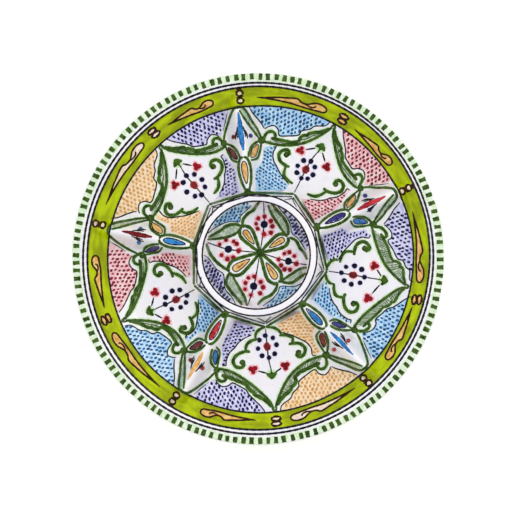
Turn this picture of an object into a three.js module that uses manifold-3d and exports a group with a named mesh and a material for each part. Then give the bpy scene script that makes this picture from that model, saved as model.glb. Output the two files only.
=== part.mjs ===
// A divided serving plate in glazed earthenware: a thrown dish on a turned foot, with a low bowl wall
// in the middle and five dividers running from it to the rim. The potter makes each of these as a
// piece of its own and lutes them together, so each is a mesh of its own here.
// Millimetres, +Z up. The origin is the centre of the circle that the foot stands on, and the
// dish is round about the Z axis.
import * as THREE from "three";
import { mergeVertices } from "three/addons/utils/BufferGeometryUtils.js";
import Module from "manifold-3d";

const wasm = await Module();
wasm.setup();

// Driving dimensions of the dish.
const PLATE_RADIUS = 190;
const FOOT_HEIGHT = 6;
const FLOOR_THICKNESS = 7;
const FLOOR_RADIUS = 128;
const WALL_RADIUS = 176; // where the compartments end and the flange begins
const WALL_RISE = 27;
const WALL_TOP_SLOPE = 0.85;
const FLANGE_SLOPE = 0.28;
const LIP_RADIUS = 3; // half the thickness of the flange's round edge
const UNDERSIDE_RADIUS = 134; // where the flat underside starts to rise
const UNDERSIDE_END_SLOPE = 0.35;

// The foot, a ring that tapers to the face it stands on.
const FOOT_INNER_RADIUS = 99;
const FOOT_OUTER_RADIUS = 113;
const FOOT_TAPER = 2;

// The bowl wall, set a little off the dish's centre by hand.
const BOWL_CENTRE = new THREE.Vector2(-2, 3.7);
const BOWL_CREST_RADIUS = 58.4;
const BOWL_CREST_WIDTH = 3.4;
const BOWL_INNER_SPREAD = 13; // how far the wall's side runs out from the crest before it meets the floor
const BOWL_OUTER_SPREAD = 14;
const BOWL_RISE = 26;

// The dividers, each a ridge along a radius at its own hand-set angle, in degrees from +X.
const DIVIDER_ANGLES = [25.8, 97.6, 169, 240.5, 314.5];
const DIVIDER_RISE = 25;
const DIVIDER_SPREAD = 20; // half the ridge's width at the floor

const JOINT_GAP = 0.3; // left for the slip between a divider and what it is luted to
const AROUND = 72; // facets round the dish, foot and bowl wall
const WALL_STEPS = 7;
const LIP_STEPS = 5;
const SIDE_STEPS = 7; // facets on one side of the bowl wall
const RIDGE_STEPS = 16; // facets across a divider

const FLOOR_Z = FOOT_HEIGHT + FLOOR_THICKNESS;
const WALL_TOP_Z = FLOOR_Z + WALL_RISE;
const LIP_CENTRE_RADIUS = PLATE_RADIUS - LIP_RADIUS;
const LIP_TOP_Z = WALL_TOP_Z + (LIP_CENTRE_RADIUS - WALL_RADIUS) * FLANGE_SLOPE;
const LIP_CENTRE_Z = LIP_TOP_Z - LIP_RADIUS;

const WHITE_GLAZE = { color: 0xeeecf2, roughness: 0.18, metalness: 0 };
const BARE_CLAY = { color: 0xc9a98a, roughness: 0.85, metalness: 0 };

// A smooth rise from (x0, z0) with a level start to (x1, z1) with the given slope, as steps + 1 points.
function risingCurve(x0, z0, x1, z1, endSlope, steps) {
  const run = x1 - x0;
  return Array.from({ length: steps + 1 }, (_, i) => {
    const t = i / steps;
    const rise = (3 - 2 * t) * t * t * (z1 - z0);
    const lean = (t - 1) * t * t * endSlope * run;
    return new THREE.Vector2(x0 + run * t, z0 + rise + lean);
  });
}

// The side of a luted ridge: 1 at its crest, easing to 0 at share = 1, where it meets the floor.
function ridgeSide(share) {
  return (1 + Math.cos(Math.PI * Math.min(Math.abs(share), 1))) / 2;
}

// A lathe about Z of a profile of radius and height, with faces pointing out.
function turned(profile) {
  return new THREE.LatheGeometry(profile, AROUND).rotateX(Math.PI / 2);
}

function insideCurve() {
  return risingCurve(FLOOR_RADIUS, FLOOR_Z, WALL_RADIUS, WALL_TOP_Z, WALL_TOP_SLOPE, WALL_STEPS);
}

function dishGeometry() {
  const underside = risingCurve(
    UNDERSIDE_RADIUS,
    FOOT_HEIGHT,
    LIP_CENTRE_RADIUS,
    LIP_CENTRE_Z - LIP_RADIUS,
    UNDERSIDE_END_SLOPE,
    WALL_STEPS,
  );
  const lip = Array.from({ length: LIP_STEPS }, (_, i) => {
    const turn = -Math.PI / 2 + (Math.PI * (i + 1)) / (LIP_STEPS + 1);
    return new THREE.Vector2(
      LIP_CENTRE_RADIUS + LIP_RADIUS * Math.cos(turn),
      LIP_CENTRE_Z + LIP_RADIUS * Math.sin(turn),
    );
  });
  return turned([
    new THREE.Vector2(0, FOOT_HEIGHT),
    ...underside,
    ...lip,
    new THREE.Vector2(LIP_CENTRE_RADIUS, LIP_TOP_Z),
    ...insideCurve().reverse(),
    new THREE.Vector2(0, FLOOR_Z),
  ]);
}

function footGeometry() {
  const corners = [
    [FOOT_INNER_RADIUS, FOOT_HEIGHT],
    [FOOT_INNER_RADIUS + FOOT_TAPER, 0],
    [FOOT_OUTER_RADIUS - FOOT_TAPER, 0],
    [FOOT_OUTER_RADIUS, FOOT_HEIGHT],
    [FOOT_INNER_RADIUS, FOOT_HEIGHT],
  ];
  return turned(corners.map(([radius, z]) => new THREE.Vector2(radius, z)));
}

// The outer side of the bowl wall from the floor up to its crest, moved out by clearance.
function bowlOuterSide(clearance) {
  const crestEdge = BOWL_CREST_RADIUS + BOWL_CREST_WIDTH / 2 + clearance;
  return Array.from({ length: SIDE_STEPS + 1 }, (_, i) => {
    const share = 1 - i / SIDE_STEPS;
    return new THREE.Vector2(
      crestEdge + BOWL_OUTER_SPREAD * share,
      FLOOR_Z + BOWL_RISE * ridgeSide(share),
    );
  });
}

function bowlWallGeometry() {
  const crestEdge = BOWL_CREST_RADIUS - BOWL_CREST_WIDTH / 2;
  const innerSide = Array.from({ length: SIDE_STEPS + 1 }, (_, i) => {
    const share = i / SIDE_STEPS;
    return new THREE.Vector2(
      crestEdge - BOWL_INNER_SPREAD * share,
      FLOOR_Z + BOWL_RISE * ridgeSide(share),
    );
  });
  const outerSide = bowlOuterSide(0);
  return turned([...outerSide, ...innerSide, outerSide[0].clone()]);
}

function solidOf(geometry) {
  geometry.deleteAttribute("normal");
  geometry.deleteAttribute("uv");
  const merged = mergeVertices(geometry, 1e-3);
  return new wasm.Manifold(
    new wasm.Mesh({
      numProp: 3,
      vertProperties: merged.getAttribute("position").array,
      triVerts: new Uint32Array(merged.index.array),
    }),
  );
}

function geometryOf(solid) {
  const mesh = solid.getMesh();
  const geometry = new THREE.BufferGeometry();
  geometry.setAttribute("position", new THREE.BufferAttribute(mesh.vertProperties, 3));
  geometry.setIndex(new THREE.BufferAttribute(mesh.triVerts, 1));
  geometry.computeVertexNormals();
  return geometry;
}

// Everything below the dish's inside and outside its wall, so that a ridge can be cut to fit it.
function dishSpace() {
  const beyond = PLATE_RADIUS + 30;
  const above = WALL_TOP_Z + 30;
  const seat = insideCurve().map((p) => new THREE.Vector2(p.x, p.y + JOINT_GAP));
  return solidOf(
    turned([
      new THREE.Vector2(0, 0),
      new THREE.Vector2(beyond, 0),
      new THREE.Vector2(beyond, above),
      new THREE.Vector2(WALL_RADIUS, above),
      ...seat.reverse(),
      new THREE.Vector2(0, FLOOR_Z + JOINT_GAP),
    ]),
  );
}

// Everything inside the bowl wall's outer face.
function bowlSpace() {
  const side = bowlOuterSide(JOINT_GAP);
  const above = WALL_TOP_Z + 30;
  const turnedSpace = turned([
    new THREE.Vector2(0, 0),
    new THREE.Vector2(side[0].x, 0),
    ...side,
    new THREE.Vector2(side[SIDE_STEPS].x, above),
    new THREE.Vector2(0, above),
  ]);
  return solidOf(turnedSpace.translate(BOWL_CENTRE.x, BOWL_CENTRE.y, 0));
}

// A ridge along +X before it is cut to length, its crest over the axis.
function ridgeGeometry() {
  const section = new THREE.Shape();
  section.moveTo(-DIVIDER_SPREAD, FLOOR_Z - 1);
  for (let i = 0; i <= RIDGE_STEPS; i++) {
    const share = (2 * i) / RIDGE_STEPS - 1;
    section.lineTo(DIVIDER_SPREAD * share, FLOOR_Z + DIVIDER_RISE * ridgeSide(share));
  }
  section.lineTo(DIVIDER_SPREAD, FLOOR_Z - 1);
  section.closePath();
  const start = BOWL_CREST_RADIUS / 2;
  const ridge = new THREE.ExtrudeGeometry(section, {
    depth: PLATE_RADIUS - start,
    bevelEnabled: false,
  });
  // The section's x becomes Y, its y becomes Z, and the extrusion runs along X.
  return ridge
    .applyMatrix4(new THREE.Matrix4().set(0, 0, 1, start, 1, 0, 0, 0, 0, 1, 0, 0, 0, 0, 0, 1));
}

function dividerGeometry(angle, dish, bowl) {
  const ridge = ridgeGeometry().rotateZ(THREE.MathUtils.degToRad(angle));
  return geometryOf(solidOf(ridge).subtract(dish).subtract(bowl));
}

function named(name, geometry, finish) {
  const mesh = new THREE.Mesh(geometry, new THREE.MeshStandardMaterial(finish));
  mesh.name = name;
  return mesh;
}

const plate = new THREE.Group();
plate.add(named("dish", dishGeometry(), WHITE_GLAZE));
plate.add(named("foot_ring", footGeometry(), BARE_CLAY));

const bowlWall = named("bowl_wall", bowlWallGeometry(), WHITE_GLAZE);
bowlWall.position.set(BOWL_CENTRE.x, BOWL_CENTRE.y, 0);
plate.add(bowlWall);

const dish = dishSpace();
const bowl = bowlSpace();
DIVIDER_ANGLES.forEach((angle, i) => {
  plate.add(named(`divider_${i + 1}`, dividerGeometry(angle, dish, bowl), WHITE_GLAZE));
});

export default plate;
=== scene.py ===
import math
import random
from functools import partial

import bpy
import numpy as np
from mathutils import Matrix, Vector
from mathutils.geometry import delaunay_2d_cdt


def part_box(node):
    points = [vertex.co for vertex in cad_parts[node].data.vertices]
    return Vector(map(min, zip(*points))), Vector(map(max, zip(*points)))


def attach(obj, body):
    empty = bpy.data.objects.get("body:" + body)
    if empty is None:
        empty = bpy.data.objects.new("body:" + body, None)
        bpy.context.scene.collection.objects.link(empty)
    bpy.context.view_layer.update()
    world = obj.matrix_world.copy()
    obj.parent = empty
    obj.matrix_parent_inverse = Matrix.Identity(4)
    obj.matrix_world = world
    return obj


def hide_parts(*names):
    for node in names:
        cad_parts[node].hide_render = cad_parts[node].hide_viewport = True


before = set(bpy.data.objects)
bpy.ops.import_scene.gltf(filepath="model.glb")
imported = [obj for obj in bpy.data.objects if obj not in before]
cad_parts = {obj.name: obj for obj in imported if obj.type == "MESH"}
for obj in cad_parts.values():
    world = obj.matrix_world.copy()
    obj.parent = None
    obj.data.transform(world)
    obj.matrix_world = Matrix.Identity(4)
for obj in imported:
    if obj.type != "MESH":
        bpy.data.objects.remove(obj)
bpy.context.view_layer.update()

# A divided serving plate with a white glaze, hand painted. The body is eight pieces of clay, and each
# paint on it is a thin coat that follows the body's surface.
# Lengths are millimetres until a mesh is built. Angles are radians from +X towards +Y.
MM = 0.001
hand = random.Random(7)


# ---------------------------------------------------------------- sizes, from the CAD parts


def box_mm(node):
    low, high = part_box(node)
    return np.array(low) / MM, np.array(high) / MM


def crest_angle(node):
    """The way a divider points, from the middle of its crest."""
    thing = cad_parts[node]
    points = np.array([thing.matrix_world @ v.co for v in thing.data.vertices])
    crest = points[points[:, 2] > points[:, 2].max() - 0.1 * MM]
    middle = (crest.min(0) + crest.max(0)) / 2
    return math.atan2(middle[1], middle[0]) % math.tau


dish_low, dish_high = box_mm("dish")
foot_low, foot_high = box_mm("foot_ring")
bowl_low, bowl_high = box_mm("bowl_wall")
DIVIDERS = [f"divider_{i}" for i in range(1, 6)]
DIVIDER_ANGLES = [crest_angle(name) for name in DIVIDERS]

PLATE_RADIUS = (dish_high[0] - dish_low[0]) / 2
FOOT_HEIGHT = dish_low[2]
FLOOR_Z = bowl_low[2]
LIP_TOP_Z = dish_high[2]
BOWL_CENTRE = (bowl_low[:2] + bowl_high[:2]) / 2
BOWL_RISE = bowl_high[2] - FLOOR_Z
DIVIDER_RISE = box_mm("divider_1")[1][2] - FLOOR_Z

LIP_RADIUS = 3
LIP_CENTRE = PLATE_RADIUS - LIP_RADIUS
FLANGE_SLOPE = 0.28
WALL_RADIUS = PLATE_RADIUS - 14
WALL_TOP_Z = LIP_TOP_Z - (LIP_CENTRE - WALL_RADIUS) * FLANGE_SLOPE
WALL_TOP_SLOPE = 0.85
FLOOR_RADIUS = WALL_RADIUS - 48
UNDERSIDE_RADIUS = FLOOR_RADIUS + 6
UNDERSIDE_END_SLOPE = 0.35
FOOT_OUTER_RADIUS = (foot_high[0] - foot_low[0]) / 2
FOOT_WIDTH = 14
CREST_WIDTH = 3.4
BOWL_OUTER_SPREAD = 14
BOWL_INNER_SPREAD = 13
BOWL_REACH = (bowl_high[0] - bowl_low[0]) / 2
CREST_RADIUS = BOWL_REACH - BOWL_OUTER_SPREAD - CREST_WIDTH / 2
DIVIDER_SPREAD = 20
FILLET = 3.5  # how far apart two heights are when the clay starts to blend them
UNEVEN = 0.12  # how far the dish's inside strays from a true turned shape
BURIED = 2  # how far the bowl wall and the dividers go on below the dish's inside
FLUSH = 0.02  # a piece that stands less than this above the dish is let in, out of sight
HIDDEN_DROP = 0.35  # how far a piece is let in where other clay covers it


def full_turn(count):
    return np.linspace(0, math.tau, count, endpoint=False)


def polar(radius, turn):
    return np.stack([radius * np.cos(turn), radius * np.sin(turn)], -1)


def turned(x, y, angle):
    return x * math.cos(angle) - y * math.sin(angle), x * math.sin(angle) + y * math.cos(angle)


# ---------------------------------------------------------------- the plate's upper surface


def smooth_max(a, b, reach):
    near = np.clip(reach - np.abs(a - b), 0, None) / reach
    return np.maximum(a, b) + near * near * reach / 4


def smooth_min(a, b, reach):
    return -smooth_max(-a, -b, reach)


def ease(share):
    share = np.clip(share, 0, 1)
    return share * share * (3 - 2 * share)


def rising(r, r0, z0, r1, z1, end_slope):
    """A curve that leaves (r0, z0) level and reaches (r1, z1) at end_slope, then runs on straight."""
    run = r1 - r0
    t = np.clip((r - r0) / run, 0, 1)
    curve = z0 + (3 - 2 * t) * t * t * (z1 - z0) + (t - 1) * t * t * end_slope * run
    return curve + np.maximum(r - r1, 0) * end_slope


def dish_top(x, y):
    """The height of the dish's own inside, without the bowl wall and the dividers."""
    r = np.hypot(x, y)
    wall = rising(r, FLOOR_RADIUS, FLOOR_Z, WALL_RADIUS, WALL_TOP_Z, WALL_TOP_SLOPE)
    flange = WALL_TOP_Z + np.maximum(r - WALL_RADIUS, -8) * FLANGE_SLOPE
    over = np.clip(r - LIP_CENTRE, 0, LIP_RADIUS * 0.9999)
    lip = LIP_TOP_Z - LIP_RADIUS + np.sqrt(LIP_RADIUS**2 - over**2)
    thrown = smooth_min(smooth_min(wall, flange, 2), lip, 0.6)
    uneven = np.sin(x / 17 + 1.3) * np.cos(y / 21) + 0.6 * np.sin((x - y) / 12 + 0.4)
    return thrown + UNEVEN * uneven * ease((LIP_CENTRE - r) / 12)


def ridge_side(share):
    return (1 + np.cos(np.pi * np.minimum(np.abs(share), 1))) / 2


def bowl_wall_top(x, y):
    out = np.hypot(x - BOWL_CENTRE[0], y - BOWL_CENTRE[1]) - CREST_RADIUS
    past = np.abs(out) - CREST_WIDTH / 2
    share = np.maximum(past, 0) / np.where(out > 0, BOWL_OUTER_SPREAD, BOWL_INNER_SPREAD)
    return FLOOR_Z - FILLET + (BOWL_RISE + FILLET) * ridge_side(share)


def divider_top(x, y, angle):
    along = x * np.cos(angle) + y * np.sin(angle)
    across = y * np.cos(angle) - x * np.sin(angle) + 0.5 * np.sin(along / 19 + angle * 5)
    outside = np.hypot(x - BOWL_CENTRE[0], y - BOWL_CENTRE[1]) - CREST_RADIUS
    kept = ease((outside + 3) / 4) * (along > 0)
    return FLOOR_Z - FILLET + (DIVIDER_RISE + FILLET) * ridge_side(across / DIVIDER_SPREAD) * kept


def relief(x, y):
    """The height of the whole upper surface, with every joint filleted."""
    z = smooth_max(dish_top(x, y), bowl_wall_top(x, y), FILLET)
    for angle in DIVIDER_ANGLES:
        z = smooth_max(z, divider_top(x, y, angle), FILLET)
    return z


def surface_normal(x, y):
    d = 0.05
    slope_x = (relief(x + d, y) - relief(x - d, y)) / (2 * d)
    slope_y = (relief(x, y + d) - relief(x, y - d)) / (2 * d)
    normal = np.stack([-slope_x, -slope_y, np.ones_like(slope_x)], axis=-1)
    return normal / np.linalg.norm(normal, axis=-1, keepdims=True)


# ---------------------------------------------------------------- materials


def colour(red, green, blue):
    """A colour from its 0 to 255 display values."""
    shares = [c / 255 for c in (red, green, blue)]
    return (*[s / 12.92 if s < 0.04 else ((s + 0.055) / 1.055) ** 2.4 for s in shares], 1)


def set_inputs(node, **values):
    for key, value in values.items():
        node.inputs[key.replace("_", " ")].default_value = value


GLAZE_COAT = 0.5  # the weight of the clear coat on glazed surfaces; paints have less and are duller


class Graph:
    """A node material whose last node is the surface."""

    def __init__(self, name, roughness, coat):
        self.material = bpy.data.materials.new(name)
        self.material.use_nodes = True
        self.tree = self.material.node_tree
        self.shader = self.tree.nodes["Principled BSDF"]
        specular = 0.5 if coat == GLAZE_COAT else 0.12
        set_inputs(self.shader, Roughness=roughness, Coat_Weight=coat, Coat_Roughness=0.06, IOR=1.5,
                   Specular_IOR_Level=specular)

    def node(self, kind, **values):
        new = self.tree.nodes.new("ShaderNode" + kind)
        for key, value in values.items():
            if hasattr(new, key):
                setattr(new, key, value)
            else:
                self.feed(new.inputs[key.replace("_", " ")], value)
        return new

    def feed(self, socket, value):
        if isinstance(value, bpy.types.NodeSocket):
            self.tree.links.new(value, socket)
        else:
            socket.default_value = value

    def maths(self, operation, a, b=0.0):
        new = self.node("Math", operation=operation)
        self.feed(new.inputs[0], a)
        self.feed(new.inputs[1], b)
        return new.outputs[0]

    def span(self, value, low, high, new_low=0.0, new_high=1.0):
        new = self.node("MapRange", interpolation_type="SMOOTHSTEP")
        for socket, v in zip(new.inputs, (value, low, high, new_low, new_high)):
            self.feed(socket, v)
        return new.outputs[0]

    def mix(self, share, a, b):
        new = self.node("Mix", data_type="RGBA")
        self.feed(new.inputs["Factor"], share)
        self.feed(new.inputs[6], a)
        self.feed(new.inputs[7], b)
        return new.outputs[2]

    def place(self, stretch=(1, 1, 1)):
        where = self.node("NewGeometry").outputs["Position"]
        return self.node("Mapping", Vector=where, Scale=tuple(s / MM for s in stretch)).outputs[0]

    def noise(self, per_mm, detail=3, stretch=(1, 1, 1), where=None):
        where = where if where is not None else self.place(stretch)
        return self.node("TexNoise", Vector=where, Scale=per_mm, Detail=detail).outputs[0]

    def roughen(self, value):
        self.feed(self.shader.inputs["Roughness"], value)

    def bump(self, height, depth_mm, strength):
        new = self.node("Bump", Height=height, Strength=strength, Distance=depth_mm * MM)
        self.feed(self.shader.inputs["Normal"], new.outputs[0])

    def finish(self, base):
        self.feed(self.shader.inputs["Base Color"], base)
        return self.material


def stroke_place(graph):
    """(how far along a stroke in mm, how far across it from -1 to 1), as two sockets."""
    where = graph.node("UVMap", uv_map="stroke").outputs[0]
    parts = graph.node("SeparateXYZ", Vector=where)
    return parts.outputs[0], parts.outputs[1]


def glaze_colour(graph):
    cool = graph.span(graph.noise(0.02, 2), 0.35, 0.7)
    clouded = graph.mix(cool, colour(251, 248, 251), colour(243, 241, 251))
    pooled = graph.span(graph.noise(0.12, 4), 0.55, 0.8)
    return graph.mix(pooled, clouded, colour(239, 238, 248))


def glaze_material(name):
    """White glaze: faint clouds of colour, fine pinholes and an uneven gloss; darker and warmer where it
    faces down, partly painted shade under the dish and partly its thinner glaze.
    """
    graph = Graph(name, 0.16, GLAZE_COAT)
    pits = graph.node("TexVoronoi", Vector=graph.place(), Scale=0.16).outputs["Distance"]
    pinhole = graph.span(pits, 0.03, 0.09)
    # Painted shade: glaze that faces down is mixed to a darker, warmer colour, standing partly for shade
    # under the dish and partly for thinner glaze there.
    facing = graph.node("SeparateXYZ", Vector=graph.node("NewGeometry").outputs["Normal"]).outputs[2]
    warm = graph.mix(graph.span(graph.noise(0.03, 3), 0.35, 0.7), colour(222, 208, 192),
                     colour(238, 230, 220))
    glaze = graph.mix(graph.span(facing, -0.3, -0.05), warm, glaze_colour(graph))
    base = graph.mix(pinhole, colour(206, 192, 182), glaze)
    graph.roughen(graph.span(graph.noise(0.3), 0.3, 0.7, 0.1, 0.22))
    height = graph.maths("ADD", graph.maths("MULTIPLY", graph.noise(0.25, 2), 1.5), pinhole)
    graph.bump(height, 0.05, 0.6)
    return graph.finish(base)


def clay_material(name):
    """Bare fired clay, with turning marks, grit and scorched patches."""
    graph = Graph(name, 0.85, 0)
    radius = graph.node("VectorMath", operation="LENGTH")
    graph.feed(radius.inputs[0], graph.place((1, 1, 0)))
    rings = graph.node("TexNoise", noise_dimensions="1D", W=radius.outputs["Value"], Scale=0.9).outputs[0]
    grit = graph.noise(2.2, 4)
    warm = graph.mix(graph.span(graph.noise(0.05), 0.3, 0.7), colour(214, 168, 128), colour(196, 140, 104))
    base = graph.mix(graph.span(grit, 0.6, 0.75), warm, colour(150, 104, 78))
    graph.roughen(graph.span(grit, 0.2, 0.8, 0.75, 0.95))
    graph.bump(graph.maths("ADD", rings, grit), 0.25, 0.7)
    return graph.finish(base)


def paint_material(name, thin, thick, edge, streaks=0.6):
    """Brushed pigment: thick where it pools at a stroke's edges, thin along the brush's streaks."""
    graph = Graph(name, 0.24, 0.06)
    along, across = stroke_place(graph)
    lengthways = graph.maths("MULTIPLY", along, 0.12)
    crossways = graph.maths("MULTIPLY", across, 1.6)
    brush = graph.node("CombineXYZ", X=lengthways, Y=crossways).outputs[0]
    streak = graph.span(graph.noise(1.6, 3, where=brush), 0.35, 0.68, 0, streaks)
    patch = graph.span(graph.noise(0.18, 3), 0.35, 0.7, 0, 0.55)
    pooled = graph.span(graph.maths("ABSOLUTE", across), 0.45, 0.95, 0, edge)
    load = graph.maths("SUBTRACT", graph.maths("ADD", 0.9, pooled), graph.maths("ADD", streak, patch))
    graph.roughen(graph.span(graph.noise(0.5), 0.3, 0.7, 0.14, 0.28))
    graph.bump(graph.noise(1.1, 3), 0.03, 0.5)
    return graph.finish(graph.mix(graph.span(load, 0, 1), colour(*thin), colour(*thick)))


def halo_material(name, stain):
    """The stain that bleeds out of a stroke into the white glaze and fades."""
    graph = Graph(name, 0.17, GLAZE_COAT)
    across = graph.maths("ABSOLUTE", stroke_place(graph)[1])
    ragged = graph.maths("ADD", across, graph.span(graph.noise(0.5, 3), 0.3, 0.7, -0.2, 0.2))
    graph.bump(graph.noise(0.25, 2), 0.04, 0.5)
    return graph.finish(graph.mix(graph.span(ragged, 0.5, 1.0), colour(*stain), glaze_colour(graph)))


def wash_material(name, full, faint, scale=0.3):
    """A watery ground colour, dabbed on and mottled with paler strokes."""
    graph = Graph(name, 0.17, GLAZE_COAT)
    fleck = graph.span(graph.noise(scale, 4, (1.0, 0.55, 1)), 0.4, 0.64)
    cloud = graph.span(graph.noise(0.05, 2), 0.35, 0.7, 0, 0.4)
    share = graph.maths("MAXIMUM", fleck, cloud)
    graph.bump(graph.noise(0.4, 3), 0.04, 0.6)
    return graph.finish(graph.mix(share, colour(*full), colour(*faint)))


# ---------------------------------------------------------------- the clay pieces


def placed(name, data):
    thing = bpy.data.objects.new(name, data)
    bpy.context.collection.objects.link(thing)
    return thing


def new_piece(name, points, faces, material, replaced=()):
    mesh = bpy.data.meshes.new(name)
    mesh.from_pydata((np.asarray(points) * MM).tolist(), [], faces)
    mesh.validate()
    mesh.shade_smooth()
    mesh.materials.append(material)
    piece = placed(name, mesh)
    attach(piece, "root")
    if replaced:
        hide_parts(*replaced)
    return piece


def grid_faces(rows, columns, wraps, start=0, flip=False):
    """Quads over a grid of rows by columns, joined round on itself along each row if it wraps."""
    faces = []
    for i in range(rows - 1):
        for j in range(columns if wraps else columns - 1):
            k = (j + 1) % columns
            quad = [i * columns + j, i * columns + k, (i + 1) * columns + k, (i + 1) * columns + j]
            faces.append([start + q for q in (reversed(quad) if flip else quad)])
    return faces


def lathe_piece(name, profile, around, material, node, follow_top=0):
    """A turned piece, closed over its middle if its first follow_top rings follow the dish's real inside,
    and otherwise joined back to its first ring."""
    turn = full_turn(around)
    points = np.concatenate([np.column_stack([polar(r, turn), np.full(around, z)]) for r, z in profile])
    top = points[: follow_top * around]
    top[:, 2] = dish_top(top[:, 0], top[:, 1])
    faces = grid_faces(len(profile), around, True, flip=True)
    last = (len(profile) - 1) * around
    if follow_top:
        points = np.concatenate([points, [[0, 0, dish_top(0.0, 0.0)], [0, 0, profile[-1][1]]]])
    for j in range(around):
        k = (j + 1) % around
        if follow_top:
            faces += [[len(points) - 2, j, k], [len(points) - 1, last + k, last + j]]
        else:
            faces.append([j, k, last + k, last + j])
    new_piece(name, points, faces, material, [node])


def build_dish(material):
    inside = [(r, 0) for r in np.arange(1.5, LIP_CENTRE, 1.25)]
    inside += [(LIP_CENTRE + LIP_RADIUS * math.sin(t), 0) for t in np.linspace(0.1, 1.4, 10)]
    lip = [
        (LIP_CENTRE + LIP_RADIUS * math.cos(t), LIP_TOP_Z - LIP_RADIUS + LIP_RADIUS * math.sin(t))
        for t in np.linspace(0, -math.pi / 2, 9)
    ]
    radii = np.linspace(LIP_CENTRE, UNDERSIDE_RADIUS, 40)[1:]
    low = lip[-1][1]
    outside = rising(radii, UNDERSIDE_RADIUS, FOOT_HEIGHT, LIP_CENTRE, low, UNDERSIDE_END_SLOPE)
    base = [(r, FOOT_HEIGHT) for r in np.arange(UNDERSIDE_RADIUS - 4, 1, -4)]
    profile = inside + lip + list(zip(radii, outside)) + base
    lathe_piece("dish_body", profile, 400, material, "dish", len(inside))


def build_foot(material):
    """The foot, tapered, with soft edges where it was wiped and turned. Its top is let into the dish."""
    let_in = 1
    taper = 2
    soft = 1.3
    right = [(FOOT_OUTER_RADIUS, FOOT_HEIGHT + let_in), (FOOT_OUTER_RADIUS, FOOT_HEIGHT)]
    right += [
        (FOOT_OUTER_RADIUS - taper - soft + soft * math.cos(t), soft + soft * math.sin(t))
        for t in np.linspace(-0.3, -math.pi / 2, 7)
    ]
    left = [(2 * FOOT_OUTER_RADIUS - FOOT_WIDTH - r, z) for r, z in reversed(right)]
    lathe_piece("foot_ring_body", right + left, 240, material, "foot_ring")


def slab(top, rows, columns, wraps):
    """A closed body under a grid of top points, down to a little below the dish's inside."""
    under = top.copy()
    under[:, 2] = np.minimum(top[:, 2], dish_top(top[:, 0], top[:, 1])) - BURIED
    count = rows * columns
    faces = grid_faces(rows, columns, wraps, flip=True) + grid_faces(rows, columns, wraps, count)
    sides = []
    for row, keeps_order in ((0, True), (rows - 1, False)):
        for j in range(columns if wraps else columns - 1):
            sides.append((row * columns + j, row * columns + (j + 1) % columns, keeps_order))
    if not wraps:
        for column, keeps_order in ((0, False), (columns - 1, True)):
            for i in range(rows - 1):
                sides.append((i * columns + column, (i + 1) * columns + column, keeps_order))
    for a, b, keeps_order in sides:
        quad = [a, b, b + count, a + count]
        faces.append(quad if keeps_order else quad[::-1])
    return np.concatenate([top, under]), faces


def settled(x, y, hidden):
    """Upper-surface points, let in under the neighbouring clay where hidden or flush with the dish."""
    z = relief(x, y)
    below = hidden | (z - dish_top(x, y) < FLUSH)
    return np.stack([x, y, np.where(below, z - HIDDEN_DROP, z)], 1)


def build_bowl_wall(material):
    margin = 0.8
    rows, around = 44, 420
    inner_edge = CREST_RADIUS - CREST_WIDTH / 2 - BOWL_INNER_SPREAD
    radii = np.linspace(inner_edge - margin, BOWL_REACH + margin, rows)
    r, turn = [a.ravel() for a in np.meshgrid(radii, full_turn(around), indexing="ij")]
    x, y = (BOWL_CENTRE + polar(r, turn)).T
    hidden = (r < radii[1]) | (r > radii[-2])
    points, faces = slab(settled(x, y, hidden), rows, around, True)
    new_piece("bowl_wall_body", points, faces, material, ["bowl_wall"])


def build_divider(index, material):
    margin = 1
    rows, columns = 130, 54
    along = np.linspace(CREST_RADIUS + 6, WALL_RADIUS + 2, rows)
    across = np.linspace(-DIVIDER_SPREAD - margin, DIVIDER_SPREAD + margin, columns)
    u, v = [a.ravel() for a in np.meshgrid(along, across, indexing="ij")]
    x, y = turned(u, v, DIVIDER_ANGLES[index])
    hidden = np.hypot(x - BOWL_CENTRE[0], y - BOWL_CENTRE[1]) < BOWL_REACH
    hidden |= np.abs(v) > DIVIDER_SPREAD
    points, faces = slab(settled(x, y, hidden), rows, columns, False)
    new_piece(f"divider_body_{index + 1}", points, faces, material, [DIVIDERS[index]])


white = glaze_material("white_glaze")
build_dish(white)
build_foot(clay_material("bare_clay"))
build_bowl_wall(white)
for number in range(len(DIVIDERS)):
    build_divider(number, white)


# ---------------------------------------------------------------- brushwork


def smooth_line(points, step, closed=False):
    """Points about every step mm on a smooth curve through points, each of any number of values."""
    p = np.asarray(points, float)
    if closed:
        p = np.concatenate([p[-1:], p, p[:2]])
    else:
        p = np.concatenate([2 * p[:1] - p[1:2], p, 2 * p[-1:] - p[-2:-1]])
    out = []
    for a, b, c, d in zip(p[:-3], p[1:-2], p[2:-1], p[3:]):
        count = max(1, int(round(np.hypot(*(c - b)[:2]) / step)))
        t = (np.arange(count) / count)[:, None]
        bend = 2 * a - 5 * b + 4 * c - d
        twist = 3 * b - a - 3 * c + d
        out.append(0.5 * (2 * b + (c - a) * t + bend * t**2 + twist * t**3))
    if not closed:
        out.append(p[-2:-1])
    return np.concatenate(out)


def inside_outline(points, outline):
    x, y = points[:, :1], points[:, 1:2]
    ax, ay = outline[:, 0], outline[:, 1]
    bx, by = np.roll(ax, -1), np.roll(ay, -1)
    spans = (ay > y) != (by > y)
    rise = np.where(by == ay, 1e-9, by - ay)
    return (spans & (x < (bx - ax) * (y - ay) / rise + ax)).sum(1) % 2 == 1


def distance_to_outline(points, outline):
    a = outline[None]
    b = np.roll(outline, -1, 0)[None]
    p = points[:, None]
    span = b - a
    t = np.clip(((p - a) * span).sum(2) / np.maximum((span**2).sum(2), 1e-12), 0, 1)
    return np.linalg.norm(a + t[..., None] * span - p, axis=2).min(1)


SUNK = -0.03  # a coat's edges run just below the glaze, so that it never seems to float
NEXT_LIFT = 0.0002  # each stroke of a paint lies this much above the stroke before it
LINE_STEP = 0.9  # from one point of a painted line to the next


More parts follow.
